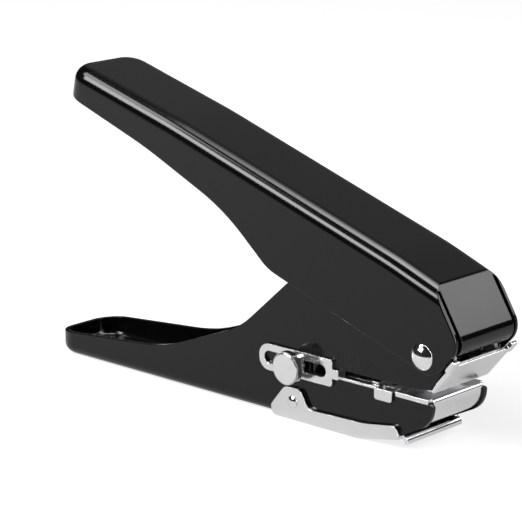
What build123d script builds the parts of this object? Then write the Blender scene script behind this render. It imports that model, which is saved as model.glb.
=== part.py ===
from build123d import *
from math import cos, hypot, pi, radians, sin, tan
import os

# Hand-held slot punch for plastic cards. Millimetres, +X to the nose, +Z up, Y = 0 is the middle plane.
# The origin lies on the plane that the punch stands on, half-way along its length.
# Side outlines are lists of corners (x, z, corner radius).

# ---- driving dimensions -------------------------------------------------------------------------
sheet = 1.2                # wall of the painted lever and frame
plate = 1.2                # chrome jaw plates
thin = 0.9                 # chrome chip tray and depth guide
side_gap = 0.6             # lever wall to frame wall
fit_gap = 0.1              # pieces fastened between the frame walls
slide_gap = 0.2            # pieces that slide or swing past each other
pin_play = 0.05            # radial play of every turning pin

rear_x = -75.0             # rear end of the lower handle
nose_x = 74.5              # front end of the lever
end_radius = 7.5           # plan radius of both handles' ends
lever_bend = 4.2           # outside bend between the lever's roof and walls
bracket_bend = 1.5         # outside bend of the bracket under the roof
floor_bend = 2.8           # outside bend between the frame's floor and walls
floor_end = 17.0           # the frame's floor is open ahead of this

pivot_x, pivot_z = 64.0, 26.8
punch_x = 50.4             # middle of the slot punch
close_angle = 20.0         # squeeze of the lever, degrees
punch_thick = 3.0          # the slot that is cut: along X, with round ends
punch_long = 15.0          # the slot that is cut: along Y
die_play = 0.06            # punch to die and to its guide, all round
block_half = 5.0           # guide and die block, along X
die_depth = 5.0            # height of the die block

throat_low = 15.1          # top of the die plate
throat_high = 17.2         # underside of the upper jaw
throat_rear = 34.6

pivot_radius = 2.5
head_radius = 3.5          # domed heads of the pivot rivet
head_height = 1.7
sleeve_radius = 3.5
drive_radius = 1.75        # pin that moves the punch
ring_thick = 0.5           # its retaining rings
pin_end = 0.2              # the pin's ends stand out of the rings
head_foot = 1.4            # punch head under that pin
head_gap = 0.4             # punch head to the bracket's cheeks, and the pin's ends to the frame walls
tip_z = 17.5               # lower end of the raised punch
clamp_radius = 1.0         # screws of the guide and die blocks
clamp_head = 1.5
clamp_sink = 0.8           # depth of their countersinks
clamp_reach = 3.35         # these screws from the middle of the punch

screw_x, screw_z = 21.4, 15.8
screw_radius = 1.45        # thumbscrew
knob_radius = 4.6
knob_height = 2.3
collar_radius = 2.7        # between the knob and the depth guide
collar_height = 3.0
nut_radius = 3.4           # over its corners
nut_thick = 2.4
knob_teeth = 44
tooth_depth = 0.35
guide_travel = 8.0         # of the depth guide, backwards
stop_x = 47.5              # its card stop at rest

tray_x, tray_z = 19.8, 5.1
tray_pin = 1.2
tray_head = 1.7

spring_x = 40.0
spring_radius = 4.5        # outside
spring_wire = 1.1
spring_turns = 9

# ---- widths and heights that follow ---------------------------------------------------------------
head_width = punch_long / 2                 # half of the punch head, along Y
cheek_inner = head_width + head_gap         # cheeks of the lever's bracket
cheek_outer = cheek_inner + sheet
drive_half = cheek_outer + ring_thick + pin_end   # half of the drive pin's length
frame_inner = drive_half + head_gap
frame_half = frame_inner + sheet
inset_half = frame_inner - fit_gap          # pieces between the frame walls
lever_width = 2 * (frame_half + side_gap + sheet)
lever_half = lever_width / 2
lever_inner = lever_half - sheet
arm_inner = frame_half + slide_gap          # tray arms and depth guide lie outside the frame
arm_outer = arm_inner + thin
guide_thick = thin - 0.2
guide_outer = arm_inner + guide_thick
drive_reach = pivot_x - punch_x             # pivot to drive pin
drive_rise = drive_reach * tan(radians(close_angle / 2))   # above the pivot at rest, below it when closed
drive_z = pivot_z + drive_rise
stroke = 2 * drive_rise
high = 120.0                                # beyond every outline


# ---- helpers ------------------------------------------------------------------------------------
def outline(corners, place=lambda a, b: Vector(a, 0, b)):
    """Closed face through the corners (a, b, radius), each rounded by an arc that its two edges can hold."""
    spots = [Vector(a, b) for a, b, _ in corners]
    count = len(spots)
    ways = [(spots[(i + 1) % count] - spots[i]).normalized() for i in range(count)]
    halves = [radians((-ways[i - 1]).get_angle(ways[i])) / 2 for i in range(count)]
    reaches = [corners[i][2] / tan(halves[i]) for i in range(count)]
    for i in range(count):
        after = (i + 1) % count
        room = (spots[after] - spots[i]).length / max(reaches[i] + reaches[after], 1e-9)
        if room < 1:
            reaches[i], reaches[after] = reaches[i] * room, reaches[after] * room
    edges = []
    for i, spot in enumerate(spots):
        start, end = spot - ways[i - 1] * reaches[i], spot + ways[i] * reaches[i]
        if reaches[i] > 0:
            depth = reaches[i] * (1 / cos(halves[i]) - tan(halves[i]))
            middle = spot + (ways[i] - ways[i - 1]).normalized() * depth
            edges.append(Edge.make_three_point_arc(*[place(p.X, p.Y) for p in (start, middle, end)]))
        after = (i + 1) % count
        onward = spots[after] - ways[i] * reaches[after]
        if (onward - end).length > 1e-6:
            edges.append(Edge.make_line(place(end.X, end.Y), place(onward.X, onward.Y)))
    return Face(Wire(edges))


def slab(corners, y_low, y_high):
    """Side outline given thickness from y_low to y_high."""
    return Pos(0, y_low, 0) * extrude(outline(corners), y_high - y_low, dir=(0, 1, 0))


def both_sides(corners, y_inner, y_outer):
    """The same slab on both sides of the middle plane."""
    return slab(corners, y_inner, y_outer) + slab(corners, -y_outer, -y_inner)


def box(x_low, x_high, y_low, y_high, z_low, z_high):
    corners = [(x_low, z_low, 0), (x_high, z_low, 0), (x_high, z_high, 0), (x_low, z_high, 0)]
    return slab(corners, y_low, y_high)


def rod(x, z, radius, y_low, y_high):
    """Round bar across the punch."""
    return Pos(x, (y_low + y_high) / 2, z) * Rot(90, 0, 0) * Cylinder(radius, y_high - y_low)


def post(x, radius, z_low, z_high):
    """Upright round bar on the middle plane."""
    return Pos(x, 0, (z_low + z_high) / 2) * Cylinder(radius, z_high - z_low)


def dome(x, z, radius, height, y, side):
    """Spherical rivet head that stands on the plane y, outwards on that side (-1 near, 1 far)."""
    ball = (radius**2 + height**2) / (2 * height)
    low, top = sorted((y, y + side * (height + 1)))
    return Pos(x, y + side * (height - ball), z) * Sphere(ball) & rod(x, z, ball + 1, low, top)


def plan_prism(rear, half, radius, lean=0.0):
    """Everything ahead of a rounded rear end at z = 0, which moves forward by lean per mm of height."""
    corners = [(rear, -half, radius), (high, -half, 0), (high, half, 0), (rear, half, radius)]
    face = outline(corners, lambda a, b: Vector(a, b, 0))
    return Pos(-lean, 0, -1) * extrude(face, (high + 1) * hypot(1, lean), dir=(lean, 0, 1))


def line(point, slope, distance=0.0):
    """Height as a function of x on a line through point, moved square to itself by distance."""
    shift = distance * hypot(1, slope)
    return lambda x: point[1] + slope * (x - point[0]) + shift


def meet(line_a, line_b):
    """Crossing of two such lines."""
    a, b = line_a(0), line_b(0)
    slope_a, slope_b = line_a(1) - a, line_b(1) - b
    x = (b - a) / (slope_a - slope_b)
    return x, line_a(x)


def single(shape):
    """The largest solid of a shape."""
    return max(shape.solids(), key=lambda s: s.volume)


def save(name, *solids):
    node = Compound(children=list(solids)) if len(solids) > 1 else solids[0]
    node.label = name
    export_step(node, f"parts/{name}.step")


os.makedirs("parts", exist_ok=True)

# ---- lever: an upturned channel with a drawn nose, slit free of the walls below its bend -------------
roof_point, roof_slope = (65.1, 47.1), -0.3215      # outside of the roof, ahead of the crease
brow_point, brow_slope = (67.0, 45.6), -0.39        # outside of its last stretch before the nose
rear_roof_slope = -0.283
crease_x = -24.0
handle_point, handle_slope = (-45.5, 70.7), -0.349  # lower edge of the handle
belly_point, belly_slope = (-20.7, 60.8), -0.44     # lower edge of its front half
neck_point, neck_slope = (1.5, 48.4), -0.85         # lower edge between handle and skirt
skirt_point, skirt_slope = (29.8, 34.0), -0.335     # lower edge over the frame
lever_lean = 0.2
lever_end = -67.5                                   # rear end, at the handle's lower edge
lever_end_z = 78.0
nose_point, nose_slope = (67.7, 44.5), -1.606       # front edges of the walls
chin = (nose_x + 1.4, 31.0)
heel = (67.2, 21.4)
chin_radius = 5.5
nose_recess = 0.2                                   # nose plate behind the walls' front edges
nose_slit = 1.2                                     # nose plate to each wall
wall_edge = 0.5                                     # rounding of the walls' edges, outside
slit_top = 44.4                                     # the slits end at this height, on the nose
nose_bend = 2.4
nose_end_z = 28.2                                   # free end of the nose plate
tail = rear_x - 10
under_slope = (chin[1] - heel[1]) / (chin[0] - heel[0])
nose_edge = line(nose_point, nose_slope)


def roof_line(depth):
    """Roof ahead of the crease, depth inside the lever's outside."""
    return line(roof_point, roof_slope, -depth)


def brow_line(depth):
    """Roof's last stretch, depth inside the lever's outside."""
    return line(brow_point, brow_slope, -depth)


def nose_line(depth):
    """Nose plate, depth inside its outside."""
    return line(nose_point, nose_slope, -nose_recess - depth)


def lever_blank(depth, half, radius):
    """Endless lever: roof with bent sides and rounded rear end, moved in by depth, open ahead and below."""
    front, brow = roof_line(depth), brow_line(depth)
    crease = (crease_x, front(crease_x))
    rear = line(crease, rear_roof_slope)
    top = [(tail, rear(tail), 0), (*crease, 200), (*meet(front, brow), 150), (high, brow(high), 0)]
    block = slab(top + [(high, -20, 0), (tail, -20, 0)], -half, half)
    end = lever_end - lever_lean * lever_end_z + depth
    block = single(block & plan_prism(end, half, end_radius - depth, lever_lean))
    rim = [e for e in block.edges() if e.center().Z > front(e.center().X) - 6 and e.center().X < high - 1]
    return fillet(rim, radius)


def nose_profile(depth):
    """Everything behind the nose plate and its upper bend, moved in by depth."""
    nose, brow = nose_line(depth), brow_line(depth)
    bend_from = meet(nose, brow)[0] - nose_bend     # the roof is already there behind this
    return [
        (tail, -20, 0),
        (*meet(nose, line((0, -20), 0.0)), 0),
        (*meet(nose, brow), nose_bend - depth),
        (bend_from, brow(bend_from), 0),
        (bend_from, high, 0),
        (tail, high, 0),
    ]


wall_outline = [
    (tail, line(handle_point, handle_slope)(tail), 0),
    (tail, high, 0),
    (nose_point[0] - 20, high, 0),
    (*meet(roof_line(-4), nose_edge), 0),
    (*chin, chin_radius),
    (*heel, chin_radius),
    (*meet(line(neck_point, neck_slope), line(skirt_point, skirt_slope)), 14),
    (*meet(line(belly_point, belly_slope), line(neck_point, neck_slope)), 64),
    (*meet(line(handle_point, handle_slope), line(belly_point, belly_slope)), 150),
]
nose_zone_back = line(nose_point, nose_slope, -nose_recess - sheet)
slit_start = meet(nose_edge, line((0, slit_top), 0.0))
slit_end = line(slit_start, -1 / nose_slope)        # square to the nose
nose_zone = [
    (*meet(slit_end, nose_zone_back), 0),
    (*meet(slit_end, line(nose_point, nose_slope, 2)), 0),
    (high, slit_top - 5, 0),
    (high, 0, 0),
    (*meet(nose_zone_back, line((0, 0), 0.0)), 0),
]
nose_under = line(chin, under_slope, nose_recess)
inner_under = line(chin, under_slope, nose_recess + sheet)
nose_free = meet(nose_under, line((0, nose_end_z), 0.0))
nose_plate = [
    (*meet(slit_end, nose_line(0)), 0),
    (*meet(nose_line(0), nose_under), 4.0),
    (*nose_free, 0),
    (*meet(inner_under, line(nose_free, -1 / under_slope)), 0),
    (*meet(nose_line(sheet), inner_under), 4.0 - sheet),
    (*meet(slit_end, nose_line(sheet)), 0),
]

outside = lever_blank(0, lever_half, lever_bend)
hollow = lever_blank(sheet, lever_inner, lever_bend - sheet)
walls = (outside & slab(wall_outline, -lever_half, lever_half)) - hollow
lever_shell = outside & slab(nose_profile(0), -high, high)
lever_shell -= hollow & slab(nose_profile(sheet), -high, high)
lever_shell = (lever_shell & slab(wall_outline, -lever_half, lever_half)) - slab(nose_zone, -high, high)
lever_shell += (walls & slab(nose_zone, -high, high)) - box(tail, high, -lever_inner, lever_inner, 0, high)
lever_shell += slab(nose_plate, -lever_inner + nose_slit, lever_inner - nose_slit)
lever_shell = single(lever_shell - rod(pivot_x, pivot_z, pivot_radius + pin_play, -high, high))
edges = [e for e in lever_shell.edges() if abs(abs(e.center().Y) - lever_half) < 0.01]
edges = [e for e in edges if e.center().X > nose_point[0]]
save("lever_shell", single(fillet(edges, wall_edge)))

# ---- frame: lower handle, jaws and throat in one folded sheet --------------------------------------
rim_point, rim_slope = (-45.5, 8.7), 0.085          # rim of the lower handle
rim_bend = -30.0
back_point, back_slope = (17.0, 37.4), 0.90         # rear edge of the raised part
hump = (-0.4, 21.7)                                 # where the rim meets that edge
top_z = 39.2
jaw_front = 66.4                                    # front edge of the lower jaw
jaw_curve = 7.0
jaw_under, jaw_under_slope = (66.4, 8.85), 0.5      # lower edge of the jaw, up to the curve
mouth_x = 60.0                                      # the upper jaw's lower edge rises ahead of this
face_point, face_slope = (66.1, 18.0), 1.72         # front edge of the upper jaw
brow_x, brow_z = pivot_x + 6.8, pivot_z + 6.0       # its upper end, clear of the nose plate's swing
tray_low = 0.1                                      # underside of the chip tray
tray_gap = 0.3                                      # chip tray's floor to the frame
ramp_x, ramp_slope = 42.5, 0.2                      # the tray's floor rises ahead of this
wall_low = tray_low + thin + tray_gap
jaw_top = throat_low - plate                        # the die plate lies on the walls
rail_low = throat_low - guide_thick - fit_gap       # the walls stand higher under the depth guide
lip_x = 54.1                                        # ahead of this the die plate covers the walls
slit_rear = throat_rear - guide_travel - 1.5        # the near wall lets the depth guide slide back

jaw_slant = line(jaw_under, jaw_under_slope)
face_line = line(face_point, face_slope)
rim = line(rim_point, rim_slope)
frame_outline = [
    (tail, 0, 0),
    (floor_end, 0, 0),
    (floor_end, wall_low, 0),
    (ramp_x, wall_low, 10),
    (*meet(line((ramp_x, wall_low), ramp_slope), jaw_slant), 3),
    (*jaw_under, jaw_curve),
    (jaw_front, jaw_top, 0.6),
    (lip_x - slide_gap, jaw_top, 0),
    (lip_x - slide_gap, rail_low, 0),
    (throat_rear, rail_low, 0),
    (throat_rear, throat_high, 0),
    (mouth_x, throat_high, 12),
    (*face_point, 0.5),
    (brow_x, face_line(brow_x), 6),
    (brow_x, brow_z, 9),
    (pivot_x - 2, top_z, 4),
    (*meet(line(back_point, back_slope), line((0, top_z), 0.0)), 1.5),
    (*hump, 30),
    (rim_bend, rim(rim_bend), 60),
    (tail, rim(tail), 0),
]


def trough(half, depth, radius):
    """Endless trough: flat floor, rounded rear end, bent lower edges, moved in by depth."""
    block = box(tail, high, -half, half, depth, high)
    block = single(block & plan_prism(rear_x + depth, half, end_radius - depth))
    edge = [e for e in block.edges() if abs(e.center().Z - depth) < 0.01 and e.center().X < high - 1]
    return fillet(edge, radius)


frame = trough(frame_half, 0, floor_bend) & slab(frame_outline, -frame_half, frame_half)
frame -= trough(frame_inner, sheet, floor_bend - sheet)
frame -= box(floor_end, high, -frame_inner, frame_inner, -1, high)
frame -= box(slit_rear, throat_rear + 1, -high, 0, rail_low, throat_high)
frame -= rod(pivot_x, pivot_z, pivot_radius, -high, high)
frame -= rod(tray_x, tray_z, tray_pin, -high, high)
frame -= rod(screw_x, screw_z, screw_radius + slide_gap, -high, 0)
save("body_frame", single(frame))

# ---- chrome jaw plates -----------------------------------------------------------------------------
lip_foot, lip_slope = (66.4, throat_high), 1.18     # upper plate's lip, which leans forward under the nose
lip_z = 25.8                                        # its upper end
lip_ear = (72.2, 74.6)                              # the ears at its ends stretch over these x
lip_ear_half = lever_half
upper_rear = 35.2
die_rear = 36.0
apron_gap = 0.6                                     # die plate's front behind the walls' front edges
apron_end = 58.0                                    # and its lower end
flat_top = throat_high + plate


def clamp_screws(tip_z, face_z):
    """Two countersunk screws, before and behind the punch, with their heads flush with face_z."""
    way = 1 if face_z > tip_z else -1
    low, top = sorted((tip_z, face_z - way * clamp_sink))
    radii = (clamp_radius, clamp_head)[::way]
    head_middle = face_z - way * clamp_sink / 2
    return [
        post(x, clamp_radius, low, top) + Pos(x, 0, head_middle) * Cone(*radii, clamp_sink)
        for x in (punch_x - clamp_reach, punch_x + clamp_reach)
    ]


def save_screws(name, screws, face_z):
    """The screws with a driver slot across each head."""
    slots = [box(-high, high, -0.25, 0.25, face_z - 0.4, face_z + 0.4) for _ in screws]
    save(name, *[single(screw - slot) for screw, slot in zip(screws, slots)])


def punch_shape(gap, z_low, z_high):
    """Bar with the punch's round-ended section, larger by gap all round."""
    half, radius = punch_long / 2 + gap, punch_thick / 2 + gap
    corners = [(punch_x + i * radius, j * half, radius) for i, j in ((-1, -1), (1, -1), (1, 1), (-1, 1))]
    face = outline(corners, lambda a, b: Vector(a, b, z_low))
    return extrude(face, z_high - z_low, dir=(0, 0, 1))


lip_out, lip_in = line(lip_foot, lip_slope), line(lip_foot, lip_slope, plate)
lip_end = meet(lip_out, line((0, lip_z), 0.0))
lip_back = meet(lip_in, line(lip_end, -1 / lip_slope))
lip_corner = meet(lip_in, line((0, flat_top), 0.0))
jaw_flat = [(upper_rear, throat_high, 0), (*lip_foot, 0), (*lip_corner, 0), (upper_rear, flat_top, 0)]
upper_jaw_plate = slab(jaw_flat, -inset_half, inset_half)
upper_jaw_plate += slab([(*lip_foot, 0), (*lip_end, 0.25), (*lip_back, 0.25), (*lip_corner, 0)],
                        -frame_half, frame_half)
face_clear = line(face_point, face_slope, -fit_gap)
behind_face = [
    (0, 0, 0),
    (*meet(face_clear, line((0, 0), 0.0)), 0),
    (*meet(face_clear, line((0, high), 0.0)), 0),
    (0, high, 0),
]
upper_jaw_plate -= both_sides(behind_face, inset_half, high)
ear_low, ear_high = [(x, lip_out(x)) for x in lip_ear]
ear = [
    (*ear_low, 0.5),
    (*ear_high, 0.5),
    (*meet(lip_in, line(ear_high, -1 / lip_slope)), 0.5),
    (*meet(lip_in, line(ear_low, -1 / lip_slope)), 0.5),
]
upper_jaw_plate += both_sides(ear, frame_half - plate / 2, lip_ear_half)
upper_jaw_plate -= punch_shape(die_play, 0, pivot_z)
guide_top = drive_z - drive_radius - head_foot - stroke - 0.25
guide_screws = clamp_screws(guide_top - 0.3, throat_high)
for screw in guide_screws:
    upper_jaw_plate -= screw
save("upper_jaw_plate", single(upper_jaw_plate))

rail_inner = frame_inner - 0.9                      # inner edge of the depth guide's rail
apron_x = jaw_front - apron_gap
apron_out = line(jaw_under, jaw_under_slope, apron_gap)
apron_in = line(jaw_under, jaw_under_slope, apron_gap + plate)
apron = [
    (lip_x, throat_low, 0),
    (apron_x, throat_low, 1.0),
    (apron_x, apron_out(apron_x), jaw_curve - apron_gap),
    (apron_end, apron_out(apron_end), 0),
    (apron_end, apron_in(apron_end), 0),
    (apron_x - plate, apron_in(apron_x - plate), jaw_curve - apron_gap - plate),
    (apron_x - plate, jaw_top, 0.2),
    (lip_x, jaw_top, 0),
]
die_plate = slab(apron, -inset_half, inset_half)
die_plate += box(die_rear, lip_x, -rail_inner + slide_gap, inset_half, jaw_top, throat_low)
die_plate += box(lip_x, apron_x - 1, -frame_half, frame_half, jaw_top, throat_low)
die_plate -= punch_shape(die_play, 0, pivot_z)
die_screws = clamp_screws(jaw_top - die_depth + 0.5, throat_low)
for screw in die_screws:
    die_plate -= screw
save("die_plate", single(die_plate))

# ---- punch, die and guide --------------------------------------------------------------------------
block_rear, block_front = punch_x - block_half, punch_x + block_half
punch_guide = box(block_rear, block_front, -inset_half, inset_half, flat_top, guide_top)
punch_guide -= punch_shape(die_play, 0, pivot_z)
for screw in guide_screws:
    punch_guide -= screw
save("punch_guide", punch_guide)
save_screws("guide_screws", guide_screws, throat_high)

die_block = box(block_rear, block_front, -inset_half, inset_half, jaw_top - die_depth, jaw_top)
die_block -= punch_shape(die_play, jaw_top - 2.5, pivot_z)
die_block -= punch_shape(0.4, 0, jaw_top - 2.5)     # the hole widens below its cutting length
for screw in die_screws:
    die_block -= screw
save("die_block", die_block)
save_screws("die_screws", die_screws, throat_low)

head_low = guide_top + stroke + 0.25
head_half = drive_radius + 1.6
pin_slot = drive_radius + pin_play
drive_swing = drive_reach * (1 / cos(radians(close_angle / 2)) - 1)   # the drive pin's fore-and-aft travel
slot_punch = punch_shape(0, tip_z, head_low + 1)
slot_punch += box(punch_x - head_half, punch_x + head_half, -head_width, head_width, head_low,
                  drive_z + drive_radius + 1.2)
slot_punch -= slab([(punch_x - pin_slot - drive_swing, drive_z - pin_slot, pin_slot),
                    (punch_x + pin_slot + drive_swing, drive_z - pin_slot, pin_slot),
                    (punch_x + pin_slot + drive_swing, drive_z + pin_slot, pin_slot),
                    (punch_x - pin_slot - drive_swing, drive_z + pin_slot, pin_slot)], -high, high)
save("slot_punch", single(slot_punch))

save("drive_pin", rod(punch_x, drive_z, drive_radius, -drive_half, drive_half))
rings = []
for side in (-1, 1):
    low, top = sorted((side * cheek_outer, side * (cheek_outer + ring_thick)))
    ring = rod(punch_x, drive_z, drive_radius + 1.1, low, top)
    ring -= rod(punch_x, drive_z, drive_radius, low, top)
    mouth = box(punch_x - 0.6, punch_x + 0.6, low, top, drive_z, high)
    rings.append(single(ring - mouth))
save("drive_pin_rings", *rings)

# ---- lever bracket, return spring and pivot --------------------------------------------------------
web_rear, web_front = spring_x - 5.0, 49.0
web_top, web_low = roof_line(sheet), roof_line(2 * sheet)
lip_stop = line(lip_foot, lip_slope, plate + slide_gap)   # the cheeks land on the lip when the lever is up
cheek = [
    (web_rear, web_top(web_rear), 0),
    (web_front, web_top(web_front), 3),
    (pivot_x - 1.0, pivot_z + 14.5, 6),
    (pivot_x + 6.5, pivot_z + 3.2, 5),
    (pivot_x + 7.3, lip_stop(pivot_x + 7.3), 0.6),
    (pivot_x + 5.4, lip_stop(pivot_x + 5.4), 1.5),
    (pivot_x + 1.5, pivot_z - 5.6, 3),
    (punch_x - 1.0, drive_z - drive_radius - 1.0, 2.4),
    (punch_x - 3.4, drive_z + 2.2, 3),
    (spring_x + 5.5, web_low(spring_x + 5.5) - 8, 10),
    (web_rear, web_low(web_rear) - 3, 2),
]
lever_bracket = both_sides(cheek, cheek_inner, cheek_outer)
lever_bracket += slab([(web_rear, web_top(web_rear), 0), (web_front, web_top(web_front), 0),
                       (web_front, web_low(web_front), 0), (web_rear, web_low(web_rear), 0)],
                      -cheek_outer, cheek_outer)
channel = slab([(0, web_top(0), 0), (high, web_top(high), 0), (high, 0, 0), (0, 0, 0)],
               -cheek_outer, cheek_outer)
bends = [e for e in channel.edges() if abs(e.center().Z - web_top(e.center().X)) < 0.01]
bends = [e for e in bends if abs(abs(e.center().Y) - cheek_outer) < 0.01]
lever_bracket &= fillet(bends, bracket_bend)
lever_bracket -= rod(pivot_x, pivot_z, sleeve_radius + pin_play, -high, high)
lever_bracket -= rod(punch_x, drive_z, drive_radius, -high, high)
save("lever_bracket", single(lever_bracket))

pivot_sleeve = rod(pivot_x, pivot_z, sleeve_radius, -inset_half, inset_half)
pivot_sleeve -= rod(pivot_x, pivot_z, pivot_radius + pin_play, -high, high)
save("pivot_sleeve", pivot_sleeve)

head_y = lever_half + fit_gap
pivot_rivet = rod(pivot_x, pivot_z, pivot_radius, -head_y - 0.5, head_y + 0.5)
for side in (-1, 1):
    pivot_rivet += dome(pivot_x, pivot_z, head_radius, head_height, side * head_y, side)
save("pivot_rivet", single(pivot_rivet))

spring_core = spring_radius - spring_wire - 0.3     # spigots inside the spring
seat_z = web_low(spring_x) - 4.2                    # under the cap's rim
spring_cap = post(spring_x, spring_radius + 0.4, seat_z, high)
above_web = [(0, web_low(0), 0), (high, web_low(high), 0), (high, high, 0), (0, high, 0)]
spring_cap = single(spring_cap - slab(above_web, -high, high))
spring_cap += post(spring_x, spring_core, seat_z - 3.0, seat_z + 1)
save("spring_cap", single(spring_cap))

foot_top = flat_top + 0.6
spring_foot = post(spring_x, spring_radius + 0.4, flat_top, foot_top)
spring_foot += post(spring_x, spring_core, flat_top, foot_top + 3.0)
save("spring_foot", single(spring_foot))

spring_low, spring_top = foot_top + spring_wire / 2, seat_z - spring_wire / 2
coil = spring_radius - spring_wire / 2
path = Helix(pitch=(spring_top - spring_low) / spring_turns, height=spring_top - spring_low, radius=coil)
wire = Plane(origin=path @ 0, z_dir=path % 0) * Circle(spring_wire / 2)
save("return_spring", single(Pos(spring_x, 0, spring_low) * sweep(wire, path=path)))

# ---- depth guide and its thumbscrew ----------------------------------------------------------------
bracket_rear, bracket_front = 7.6, 33.4
bracket_low, bracket_high = screw_z - 3.7, screw_z + 3.7
slot_rear, slot_front = 9.4, 31.3
tab_rear, tab_low = 47.8, 12.1                      # tab that is folded down over the wall
tab_front = lip_x - 0.5
slot_half = screw_radius + 0.3
neck_x = throat_rear + slide_gap                    # the neck turns into the throat here
neck_top = throat_high - slide_gap
rail_bottom = throat_low - guide_thick
card_stop_y = punch_long / 2                        # the card stop is upright between -y and y
stop_foot = 2.0                                     # its foot, along X
foot_low = throat_low + fit_gap
foot_high = foot_low + guide_thick

bracket = [
    (bracket_rear, bracket_low, 3.4),
    (bracket_front, bracket_low, 0.9),
    (bracket_front, bracket_high, 0.9),
    (bracket_rear, bracket_high, 3.4),
]
bracket_slot = [
    (slot_rear, screw_z - slot_half, slot_half),
    (slot_front, screw_z - slot_half, slot_half),
    (slot_front, screw_z + slot_half, slot_half),
    (slot_rear, screw_z + slot_half, slot_half),
]
tab = [
    (tab_rear, tab_low, 0.8),
    (tab_front, tab_low, 0.8),
    (tab_front, throat_low, 0),
    (tab_rear, throat_low, 0),
]
depth_guide = slab(bracket, -guide_outer, -arm_inner) - slab(bracket_slot, -high, 0)
depth_guide += box(bracket_front - 1, neck_x + guide_thick, -guide_outer, -arm_inner, rail_bottom, neck_top)
depth_guide += box(neck_x, neck_x + guide_thick, -guide_outer, -rail_inner, rail_bottom, neck_top)
depth_guide += box(neck_x, tab_front, -frame_half, -rail_inner, rail_bottom, throat_low)
depth_guide += box(tab_rear, tab_front, -guide_outer, -rail_inner, rail_bottom, throat_low)
depth_guide += slab(tab, -guide_outer, -arm_inner)
depth_guide += box(stop_x - stop_foot, stop_x, -frame_inner, -rail_inner, rail_bottom, foot_high)
depth_guide += box(stop_x - stop_foot, stop_x, -frame_inner, card_stop_y, foot_low, foot_high)
depth_guide += box(stop_x - guide_thick, stop_x, -card_stop_y, card_stop_y, foot_low, neck_top)
save("depth_guide", single(depth_guide))

collar_end = guide_outer + collar_height
knob_end = collar_end + knob_height
knurl = []
for k in range(2 * knob_teeth):
    radius = knob_radius - tooth_depth * (k % 2)
    angle = pi * k / knob_teeth
    knurl.append((screw_x + radius * cos(angle), screw_z + radius * sin(angle), 0))
face_disc = rod(screw_x, screw_z, knob_radius - tooth_depth, -knob_end, -collar_end)
face_edge = [e for e in face_disc.edges() if abs(e.center().Y + knob_end) < 0.01]
thumb_screw = fillet(face_edge, 0.4)
thumb_screw += slab(knurl, -knob_end + 0.4, -collar_end + 0.1)
thumb_screw += rod(screw_x, screw_z, collar_radius, -collar_end - 0.5, -guide_outer)
thumb_screw += rod(screw_x, screw_z, screw_radius, -collar_end, nut_thick + 0.8 - frame_inner)
save("thumb_screw", single(thumb_screw))

nut_corners = []
for k in range(6):
    angle = radians(60 * k)
    nut_corners.append((screw_x + nut_radius * cos(angle), screw_z + nut_radius * sin(angle), 0))
guide_nut = slab(nut_corners, -frame_inner, nut_thick - frame_inner)
save("guide_nut", guide_nut - rod(screw_x, screw_z, screw_radius + pin_play, -high, 0))

# ---- chip tray -------------------------------------------------------------------------------------
tray_floor_x = tray_x + 1.2                         # behind this only the two ears remain
tray_front = 56.2
ear_top = tray_z + 3.9
pull_half = 11.4                                    # half of the pull lip's width
crest = (58.2, 4.1)                                 # its crest, ahead of the arms
crest_radius = 1.5
pull_end = (58.4, 1.8)                              # its free end, which hangs from there
tray_bottom = line((ramp_x, tray_low), ramp_slope)
tray_top = line((ramp_x, tray_low + thin), ramp_slope)
arm = [
    (13.0, tray_low, 1.2),
    (ramp_x, tray_low, 10),
    (tray_front, tray_bottom(tray_front), 0.4),
    (tray_front - 0.8, 6.4, 2.0),
    (50.5, 5.6, 10),
    (44.0, 4.6, 20),
    (25.2, 4.1, 3.0),
    (22.4, ear_top, 2.2),
    (16.9, ear_top, 2.2),
    (11.8, 2.6, 1.6),
]
floor = [
    (tray_floor_x, tray_low, 0),
    (ramp_x, tray_low, 10),
    (tray_front, tray_bottom(tray_front), 0),
    (tray_front, tray_top(tray_front), 0),
    (ramp_x, tray_low + thin, 10),
    (tray_floor_x, tray_low + thin, 0),
]
pull_slope = (pull_end[1] - crest[1]) / (pull_end[0] - crest[0])
pull_inner = line(crest, pull_slope, -thin)
pull_lip = [
    (tray_front - 1, tray_top(tray_front - 1), 0),
    (*crest, crest_radius),
    (*pull_end, 0),
    (*meet(pull_inner, line(pull_end, -1 / pull_slope)), 0),
    (*meet(tray_bottom, pull_inner), crest_radius - thin),
    (tray_front - 1, tray_bottom(tray_front - 1), 0),
]
chip_tray = both_sides(arm, arm_inner, arm_outer)
chip_tray += slab(floor, -arm_outer, arm_outer)
chip_tray += slab(pull_lip, -pull_half, pull_half)
chip_tray -= rod(tray_x, tray_z, tray_pin + pin_play, -high, high)
save("chip_tray", single(chip_tray))

tray_rivets = []
for side in (-1, 1):
    low, top = sorted((side * (frame_inner - 0.7), side * (arm_outer + 0.4)))
    rivet = rod(tray_x, tray_z, tray_pin, low, top)
    rivet += dome(tray_x, tray_z, tray_head, 0.7, side * (arm_outer + fit_gap), side)
    low, top = sorted((side * frame_inner, side * (frame_inner - 0.7)))
    tray_rivets.append(single(rivet + rod(tray_x, tray_z, tray_head - 0.2, low, top)))
save("tray_rivets", *tray_rivets)
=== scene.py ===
from math import cos, pi, radians, sin

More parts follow.
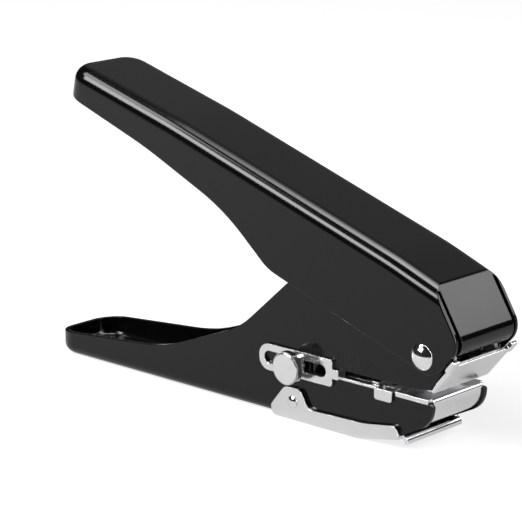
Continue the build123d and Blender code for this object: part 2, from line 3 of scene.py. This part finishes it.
import bpy
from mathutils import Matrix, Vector


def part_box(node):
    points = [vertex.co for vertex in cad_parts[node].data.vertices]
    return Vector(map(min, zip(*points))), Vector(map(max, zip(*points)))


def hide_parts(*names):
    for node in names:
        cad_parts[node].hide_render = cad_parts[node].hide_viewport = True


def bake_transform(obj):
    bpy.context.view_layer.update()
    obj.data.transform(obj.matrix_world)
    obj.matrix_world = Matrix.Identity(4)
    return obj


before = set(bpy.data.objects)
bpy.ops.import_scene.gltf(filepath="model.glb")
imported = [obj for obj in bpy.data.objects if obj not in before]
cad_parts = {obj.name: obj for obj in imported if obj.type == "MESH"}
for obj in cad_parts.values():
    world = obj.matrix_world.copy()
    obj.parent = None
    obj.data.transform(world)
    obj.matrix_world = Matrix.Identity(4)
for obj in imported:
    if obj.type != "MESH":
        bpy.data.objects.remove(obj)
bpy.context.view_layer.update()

mm = 0.001

# ---- frame and lever --------------------------------------------------------------------------------
# The two handles are folded from 1.2 mm sheet steel. They are dipped in black enamel after the bends
# and holes are made, so the enamel runs round every edge and is thinnest there. A millimetre scale is
# stamped into the frame's near wall, beside the depth guide.


class Amount:
    """One socket of a node tree. A sum on it adds the Math nodes that work the sum out."""

    def __init__(self, tree, socket):
        self.tree, self.socket = tree, socket

    def maths(self, operation, *others):
        inputs = dict(enumerate((self, *others)))
        return add_node(self.tree, "Math", {"operation": operation}, inputs)

    def __add__(self, other):
        return self.maths("ADD", other)

    def __sub__(self, other):
        return self.maths("SUBTRACT", other)

    def __rsub__(self, other):
        return (self * -1) + other

    def __mul__(self, other):
        return self.maths("MULTIPLY", other)

    def __gt__(self, other):
        return self.maths("GREATER_THAN", other)

    def __lt__(self, other):
        return self.maths("LESS_THAN", other)

    def __mod__(self, other):
        return self.maths("FLOORED_MODULO", other)

    def __abs__(self):
        return self.maths("ABSOLUTE")

    __radd__ = __add__
    __rmul__ = __mul__


def add_node(tree, kind, settings=None, inputs=None, out=0):
    """Adds a shader node with these settings, then its sockets' values or links; gives one of its outputs."""
    made = tree.nodes.new("ShaderNode" + kind)
    for name, value in (settings or {}).items():
        setattr(made, name, value)
    for name, value in (inputs or {}).items():
        if isinstance(value, Amount):
            tree.links.new(value.socket, made.inputs[name])
        else:
            made.inputs[name].default_value = value
    return Amount(tree, made.outputs[out])


def empty_tree(owner):
    owner.use_nodes = True
    owner.node_tree.nodes.clear()
    return owner.node_tree


def ramp(amount, start, end):
    """0 before start, 1 after end, with a smooth way between them."""
    bounds = {"Value": amount, "From Min": start, "From Max": end}
    return add_node(amount.tree, "MapRange", {"interpolation_type": "SMOOTHSTEP"}, bounds)


def noise(place, size, detail=3.0, roughness=0.5):
    """Cloudy pattern from 0 to 1 whose patches are about this size."""
    settings = {"noise_dimensions": "3D"}
    return add_node(place.tree, "TexNoise", settings,
                    {"Vector": place, "Scale": 1 / size, "Detail": detail, "Roughness": roughness})


def place_of(tree):
    """Place on the piece, in metres, which moves with the piece."""
    return add_node(tree, "TexCoord", out="Object")


def stretched(place, scales):
    """The same place with its three axes multiplied."""
    return add_node(place.tree, "VectorMath", {"operation": "MULTIPLY"}, {0: place, 1: scales})


def part_along(place, axis):
    """Distance along X, Y or Z."""
    return add_node(place.tree, "SeparateXYZ", inputs={0: place}, out=axis)


def mixed(amount, low, high):
    """Colour between two colours."""
    settings = {"data_type": "RGBA"}
    colours = {0: amount, 6: low, 7: high}
    return add_node(amount.tree, "Mix", settings, colours, out=2)


def bumps(height, distance, normal=None):
    inputs = {"Height": height, "Distance": distance, "Strength": 1.0}
    if normal:
        inputs["Normal"] = normal
    return add_node(height.tree, "Bump", inputs=inputs)


flat_bend, edge_bend = 0.01, 0.12               # 1 less the cosine of what rounding turns the surface by


def worn_edges(tree, radius):
    """1 on edges sharper than this radius and 0 on flats; then the surface direction with edges rounded."""
    rounded = add_node(tree, "Bevel", {"samples": 6}, {"Radius": radius})
    flat = add_node(tree, "NewGeometry", out="Normal")
    along = add_node(tree, "VectorMath", {"operation": "DOT_PRODUCT"}, {0: rounded, 1: flat}, out="Value")
    return ramp(1 - along, flat_bend, edge_bend), rounded


def add_node_output(tree, surface, kind="OutputMaterial"):
    """Ends a material's or the world's tree with this surface."""
    made = tree.nodes.new("ShaderNode" + kind)
    tree.links.new(surface.socket, made.inputs["Surface"])


def finish(name, sockets):
    """A material of one Principled surface; sockets is a function that gives its sockets from the tree."""
    material = bpy.data.materials.new(name)
    tree = empty_tree(material)
    surface = add_node(tree, "BsdfPrincipled", inputs=sockets(tree))
    add_node_output(tree, surface)
    return material


def dress(material, *names):
    """Gives the finish to these pieces."""
    for name in names:
        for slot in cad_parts[name].material_slots:
            slot.material = material


enamel_black = (0.0020, 0.0020, 0.0022, 1)
enamel_thin = (0.012, 0.012, 0.013, 1)          # where it thins over an edge
enamel_round = 0.25 * mm
enamel_roughness = 0.12
stamp_black = (0.001, 0.001, 0.001, 1)
peel_depth, stamp_depth = 0.0012, 0.05          # in mm


def enamel(tree, stamped=None):
    place = place_of(tree)
    edge, rounded = worn_edges(tree, enamel_round)
    clouds = noise(place, 9 * mm)
    orange_peel = noise(place, 0.9 * mm, detail=1.0)
    thin = edge * ramp(noise(place, 2.5 * mm), 0.35, 0.6)
    height = orange_peel * peel_depth
    roughness = enamel_roughness + clouds * 0.05 + edge * 0.05
    colour = mixed(thin, enamel_black, enamel_thin)
    if stamped:
        mark = stamped(place)
        height = height - mark * stamp_depth
        roughness = roughness + mark * 0.3
        colour = mixed(mark, colour, stamp_black)
    return {
        "Base Color": colour,
        "Roughness": roughness,
        "IOR": 1.40,
        "Normal": bumps(height, mm, rounded),
    }


scale_start, scale_end = 25.3, 49.9             # along the frame, in mm
scale_low = 17.2
scale_short, scale_long = 4.1, 5.0              # heights of the marks
scale_line = 0.3                                # width of a mark
near_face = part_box("body_frame")[0][1] / mm     # outer face of the near wall, which alone is stamped
outer_skin = 0.3


def millimetre_scale(place):
    """1 on the marks: one for each millimetre, and each fifth one longer."""
    along, across, up = [part_along(place, axis) * 1000 for axis in "XYZ"]
    step = along - scale_start
    on_line = (step % 1) < scale_line
    fifth = ((step + 0.5) % 5) < 1
    height = scale_short + (scale_long - scale_short) * fifth
    inside = (along > scale_start) * (along < scale_end) * (up > scale_low)
    return on_line * inside * ((up - height) < scale_low) * (across < near_face + outer_skin)


dress(finish("stamped_enamel", lambda tree: enamel(tree, millimetre_scale)), "body_frame")
dress(finish("black_enamel", enamel), "lever_shell")

# ---- jaws, depth guide and chip tray ----------------------------------------------------------------
# These are stamped from bright sheet steel and nickel-chrome plated in a barrel, which leaves them
# bright but not mirror-like: soft grain from rolling, rounded edges that catch the light, and fine
# random scratches from rubbing on each other and on the cards.

plating_bright = (0.93, 0.93, 0.935, 1)
plating_dull = (0.80, 0.80, 0.81, 1)
plating_round = 0.22 * mm
plating_roughness = 0.13


def scratches(place, turn, spacing, length):
    """Thin lines along one direction, 0 to 1, faint and broken."""
    settings = {"rotation_type": "Z_AXIS"}
    turned = add_node(place.tree, "VectorRotate", settings, {"Vector": place, "Angle": turn})
    lines = noise(stretched(turned, (1 / length, 1 / spacing, 1 / spacing)), 1.0, detail=2.0)
    return ramp(lines, 0.62, 0.7)


def plating(tree):
    place = place_of(tree)
    edge, rounded = worn_edges(tree, plating_round)
    clouds = noise(place, 6 * mm)
    grain = noise(stretched(place, (1, 6, 6)), 1.2 * mm, detail=2.0)
    marks = scratches(place, 0.5, 0.25 * mm, 9 * mm) + scratches(place, 2.1, 0.3 * mm, 7 * mm)
    return {
        "Base Color": mixed(clouds * 0.5 + edge * 0.3, plating_dull, plating_bright),
        "Metallic": 1.0,
        "Roughness": plating_roughness + clouds * 0.05 + marks * 0.06,
        "Normal": bumps(grain * 0.004 - marks * 0.002, mm, rounded),
    }


plated = finish("barrel_plating", plating)
dress(plated, "upper_jaw_plate", "die_plate", "depth_guide", "chip_tray", "tray_rivets")

# ---- rivet and thumbscrew ---------------------------------------------------------------------------
# The pivot rivet and the thumbscrew are turned from bar and plated bright. The rivet's heads are
# formed and polished; the screw has straight knurling, a faced end and a collar under it.


def polished(tree):
    place = place_of(tree)
    edge, rounded = worn_edges(tree, 0.15 * mm)
    clouds = noise(place, 3 * mm)
    return {
        "Base Color": mixed(clouds + edge * 0.3, plating_dull, plating_bright),
        "Metallic": 1.0,
        "Roughness": 0.09 + clouds * 0.04,
        "Normal": bumps(noise(place, 0.8 * mm) * 0.0015, mm, rounded),
    }


screw_low, screw_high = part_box("thumb_screw")
screw_axis = (screw_low + screw_high) / 2
knob_radius = (screw_high[2] - screw_low[2]) / 2
tooth_depth = 0.35 * mm
groove_dirt_and_shade = (0.05, 0.05, 0.052, 1)            # dirt between the teeth, with painted shade there too


def turned_face(tree):
    """Fine rings that the lathe leaves on the knob's end and sides, and dirt with painted shade between its
    teeth.
    """
    place = place_of(tree)
    edge, rounded = worn_edges(tree, 0.05 * mm)
    from_axis = add_node(tree, "VectorMath", {"operation": "SUBTRACT"}, {0: place, 1: screw_axis})
    flat = stretched(from_axis, (1, 0, 1))
    radius = add_node(tree, "VectorMath", {"operation": "LENGTH"}, {0: flat}, out="Value")
    rings = noise(add_node(tree, "CombineXYZ", inputs={0: radius}), 0.22 * mm, detail=2.0)
    clouds = noise(place, 2 * mm)
    facing_out = abs(part_along(add_node(tree, "NewGeometry", out="Normal"), "Y"))
    on_side = (facing_out < 0.5) * (radius > (knob_radius - tooth_depth * 1.2))
    # Darker towards the bottom of the knurl's grooves: partly dirt, partly painted shade.
    groove = on_side * (1 - ramp(radius, knob_radius - tooth_depth, knob_radius - tooth_depth * 0.3))
    return {
        "Base Color": mixed(groove, mixed(clouds + edge * 0.3, plating_dull, plating_bright), groove_dirt_and_shade),
        "Metallic": 1.0,
        "Roughness": 0.16 + clouds * 0.06,
        "Normal": bumps(rings * 0.004, mm, rounded),
    }


dress(finish("polished_plating", polished), "pivot_rivet")
dress(finish("turned_plating", turned_face), "thumb_screw")

# ---- punch, die, guide and the pieces that drive them -----------------------------------------------
# Hardened steel ground on its flats, with a thin film of oil and a slightly straw tint. The bracket,
# sleeve, pins, rings, screws and nut are plain zinc-plated or blackened steel.

ground_light = (0.56, 0.55, 0.53, 1)
ground_dark = (0.36, 0.355, 0.35, 1)


def ground_steel(tree):
    place = place_of(tree)
    edge, rounded = worn_edges(tree, 0.12 * mm)
    lines = noise(stretched(place, (30, 1, 1)), 4 * mm, detail=3.0)
    clouds = noise(place, 4 * mm)
    return {
        "Base Color": mixed(clouds * 0.6 + lines * 0.4, ground_dark, ground_light),
        "Metallic": 1.0,
        "Roughness": 0.26 + lines * 0.12,
        "Normal": bumps(lines * 0.006, mm, rounded),
    }


zinc_dark = (0.50, 0.50, 0.52, 1)
zinc_light = (0.66, 0.665, 0.68, 1)


def zinc(tree):
    place = place_of(tree)
    edge, rounded = worn_edges(tree, 0.15 * mm)
    clouds = noise(place, 3 * mm)
    return {
        "Base Color": mixed(clouds, zinc_dark, zinc_light),
        "Metallic": 1.0,
        "Roughness": 0.30 + clouds * 0.12,
        "Normal": bumps(noise(place, 0.7 * mm) * 0.004, mm, rounded),
    }


dress(finish("ground_steel", ground_steel), "slot_punch", "punch_guide", "die_block")
dress(finish("zinc_plating", zinc), "lever_bracket", "pivot_sleeve", "drive_pin", "drive_pin_rings",
      "guide_screws", "die_screws", "guide_nut")

# ---- return spring and its seats --------------------------------------------------------------------
# A coil of drawn spring wire, left grey, between two black moulded seats with a fine matt grain. Its lower
# end stands on the frame's seat and its upper end on the lever's.

wire_radius = 0.55 * mm
spring_turns = 9
turn_steps, ring_points = 32, 12                # of the coil's mesh
coil_low, coil_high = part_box("return_spring")
coil_middle = (coil_low + coil_high) / 2
coil_radius = (coil_high[0] - coil_low[0]) / 2 - wire_radius
foot_height, cap_height = coil_low[2] + wire_radius, coil_high[2] - wire_radius


def coil_ring(step):
    """Points round the wire after this many steps up the coil."""
    turn = 2 * pi * step / turn_steps
    height = foot_height + (cap_height - foot_height) * step / (spring_turns * turn_steps)
    slope = (cap_height - foot_height) / (spring_turns * 2 * pi * coil_radius)
    outward = Vector((cos(turn), sin(turn), 0))
    onward = Vector((-sin(turn), cos(turn), slope)).normalized()
    upward = outward.cross(onward)
    centre = Vector((coil_middle[0], coil_middle[1], height)) + outward * coil_radius
    angles = [2 * pi * k / ring_points for k in range(ring_points)]
    return [centre + (outward * cos(a) + upward * sin(a)) * wire_radius for a in angles]


def coil_mesh():
    """Tube of wire along the whole coil, closed at both ends."""
    steps = spring_turns * turn_steps
    points = [point for step in range(steps + 1) for point in coil_ring(step)]
    faces = [list(reversed(range(ring_points)))]
    for step in range(steps):
        here, there = step * ring_points, (step + 1) * ring_points
        for k in range(ring_points):
            beside = (k + 1) % ring_points
            faces.append([here + k, there + k, there + beside, here + beside])
    faces.append([steps * ring_points + k for k in range(ring_points)])
    mesh = bpy.data.meshes.new("return_coil")
    mesh.from_pydata(points, [], faces)
    mesh.shade_smooth()
    return mesh


wire_dark = (0.22, 0.22, 0.225, 1)
wire_light = (0.42, 0.42, 0.43, 1)
seat_black = (0.018, 0.018, 0.019, 1)
seat_rubbed = (0.035, 0.035, 0.036, 1)


def spring_wire(tree):
    place = place_of(tree)
    clouds = noise(place, 2.5 * mm)
    return {
        "Base Color": mixed(clouds, wire_dark, wire_light),
        "Metallic": 1.0,
        "Roughness": 0.28 + clouds * 0.14,
        "Normal": bumps(noise(place, 0.35 * mm) * 0.003, mm),
    }


def moulded(tree):
    place = place_of(tree)
    edge, rounded = worn_edges(tree, 0.2 * mm)
    clouds = noise(place, 1.5 * mm)
    return {
        "Base Color": mixed(clouds * 0.5 + edge * 0.5, seat_black, seat_rubbed),
        "Roughness": 0.55 + clouds * 0.1,
        "Normal": bumps(noise(place, 0.25 * mm) * 0.01, mm, rounded),
    }


coil = bpy.data.objects.new("return_coil", coil_mesh())
bpy.context.scene.collection.objects.link(coil)
coil.data.materials.append(finish("spring_wire", spring_wire))
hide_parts("return_spring")
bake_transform(coil)
dress(finish("moulded_seat", moulded), "spring_cap", "spring_foot")

# ---- studio -----------------------------------------------------------------------------------------
# A white sweep and three soft lamps: one at the near side, one nearer the handles' ends and one beyond the
# nose, which shows in its panel. A soft panel overhead is seen only in reflections, and draws the streaks in
# the enamel. The camera's place was fitted to the object's edges.

camera_turn, camera_rise = radians(42.5), radians(14.6)
camera_reach = 614.468 * mm
camera_aim = Vector((8.9063, -13.0645, 42.1752)) * mm
picture_side = 522                              # pixels
focal_length = 2310                             # pixels


def direction(turn, rise):
    """From the object towards something at this turn about Z, from -Y towards +X, and this rise."""
    return Vector((sin(turn) * cos(rise), -cos(turn) * cos(rise), sin(rise)))


camera = bpy.data.cameras.new("camera")
camera.lens = focal_length / picture_side * camera.sensor_width
camera_object = bpy.data.objects.new("camera", camera)
camera_object.location = camera_aim + direction(camera_turn, camera_rise) * camera_reach
camera_object.rotation_euler = (pi / 2 - camera_rise, 0, camera_turn)
bpy.context.scene.collection.objects.link(camera_object)
bpy.context.scene.camera = camera_object


def soft_lamp(name, turn, rise, reach, width, height, radiance):
    """Rectangular soft lamp that faces the object, of this brightness as seen in a mirror."""
    lamp = bpy.data.lights.new(name, "AREA")
    lamp.shape = "RECTANGLE"
    lamp.size, lamp.size_y = width, height
    lamp.energy = radiance * pi * width * height
    placed = bpy.data.objects.new(name, lamp)
    placed.location = camera_aim + direction(radians(turn), radians(rise)) * reach
    placed.rotation_euler = (pi / 2 - radians(rise), 0, radians(turn))
    placed.visible_camera = False
    bpy.context.scene.collection.objects.link(placed)


soft_lamp("near_lamp", turn=-29, rise=37.5, reach=0.9, width=0.44, height=0.28, radiance=15.0)
soft_lamp("rear_lamp", turn=-56, rise=52.5, reach=0.9, width=0.30, height=0.27, radiance=8.0)
soft_lamp("nose_lamp", turn=144, rise=28, reach=0.9, width=0.30, height=0.26, radiance=4.4)

backdrop_white = 1.0
ceiling_dark = 0.02
wall_grey = 0.22                                # far wall, as it shows in the lever's roof
wall_turn, wall_rise = radians(208), radians(36)
wall_edge, wall_core = cos(radians(34)), cos(radians(12))
glow = 15.0                                     # soft panel overhead, as the enamel mirrors it
panel_left = -0.37, -0.19                       # along X and Y of the direction, where its edges fade
panel_front = -0.20, -0.11
panel_back = -0.12, 0.55
horizon = -0.06, 0.01                           # the floor's white fades to the dark ceiling
soft_level = 0.45                               # of the room's light on the object

world = bpy.data.worlds.new("studio")
bpy.context.scene.world = world
tree = empty_tree(world)
facing = add_node(tree, "TexCoord", out="Generated")
up = part_along(facing, "Z")
to_wall = {0: facing, 1: direction(wall_turn, wall_rise)}
near_wall = add_node(tree, "VectorMath", {"operation": "DOT_PRODUCT"}, to_wall, out="Value")
seen = add_node(tree, "LightPath", out="Is Camera Ray")
mirrored = add_node(tree, "LightPath", out="Is Glossy Ray")
through = add_node(tree, "LightPath", out="Is Transmission Ray")
sweep = backdrop_white + (ceiling_dark - backdrop_white) * ramp(up, *horizon)
sweep = sweep + wall_grey * ramp(near_wall, wall_edge, wall_core)
sideways, away = [part_along(facing, axis) for axis in "XY"]
lit = ramp(sideways, *panel_left) * ramp(away, *panel_front) * (1 - ramp(away, *panel_back)) * (up > 0)
sweep = sweep + glow * lit
level = seen * backdrop_white + (mirrored + through) * sweep + (1 - seen - mirrored - through) * soft_level
background = add_node(tree, "Background", inputs={"Color": (1, 1, 1, 1), "Strength": level})
add_node_output(tree, background, "OutputWorld")

floor_half = 3.0
paper_white = (0.85, 0.85, 0.85, 1)
shine_seen, shine_mirrored = 1.5, 0.7           # the paper's own light, to the camera and in reflections
share_seen, share_mirrored = 0.45, 0.6          # of that light in what is seen
floor_mesh = bpy.data.meshes.new("floor")
corners = [(x, y, 0) for x, y in ((-floor_half, -floor_half), (floor_half, -floor_half),
                                  (floor_half, floor_half), (-floor_half, floor_half))]
floor_mesh.from_pydata(corners, [], [(0, 1, 2, 3)])
floor = bpy.data.objects.new("floor", floor_mesh)
bpy.context.scene.collection.objects.link(floor)
material = bpy.data.materials.new("white_sweep")
tree = empty_tree(material)
paper = add_node(tree, "BsdfDiffuse", inputs={"Color": paper_white})
seen = add_node(tree, "LightPath", out="Is Camera Ray")
mirrored = add_node(tree, "LightPath", out="Is Glossy Ray")
strength = seen * shine_seen + mirrored * shine_mirrored
shine = add_node(tree, "Emission", inputs={"Color": (1, 1, 1, 1), "Strength": strength})
lift = seen * share_seen + mirrored * share_mirrored
add_node_output(tree, add_node(tree, "MixShader", inputs={0: lift, 1: paper, 2: shine}))
floor_mesh.materials.append(material)

bpy.context.scene.view_settings.view_transform = "Standard"
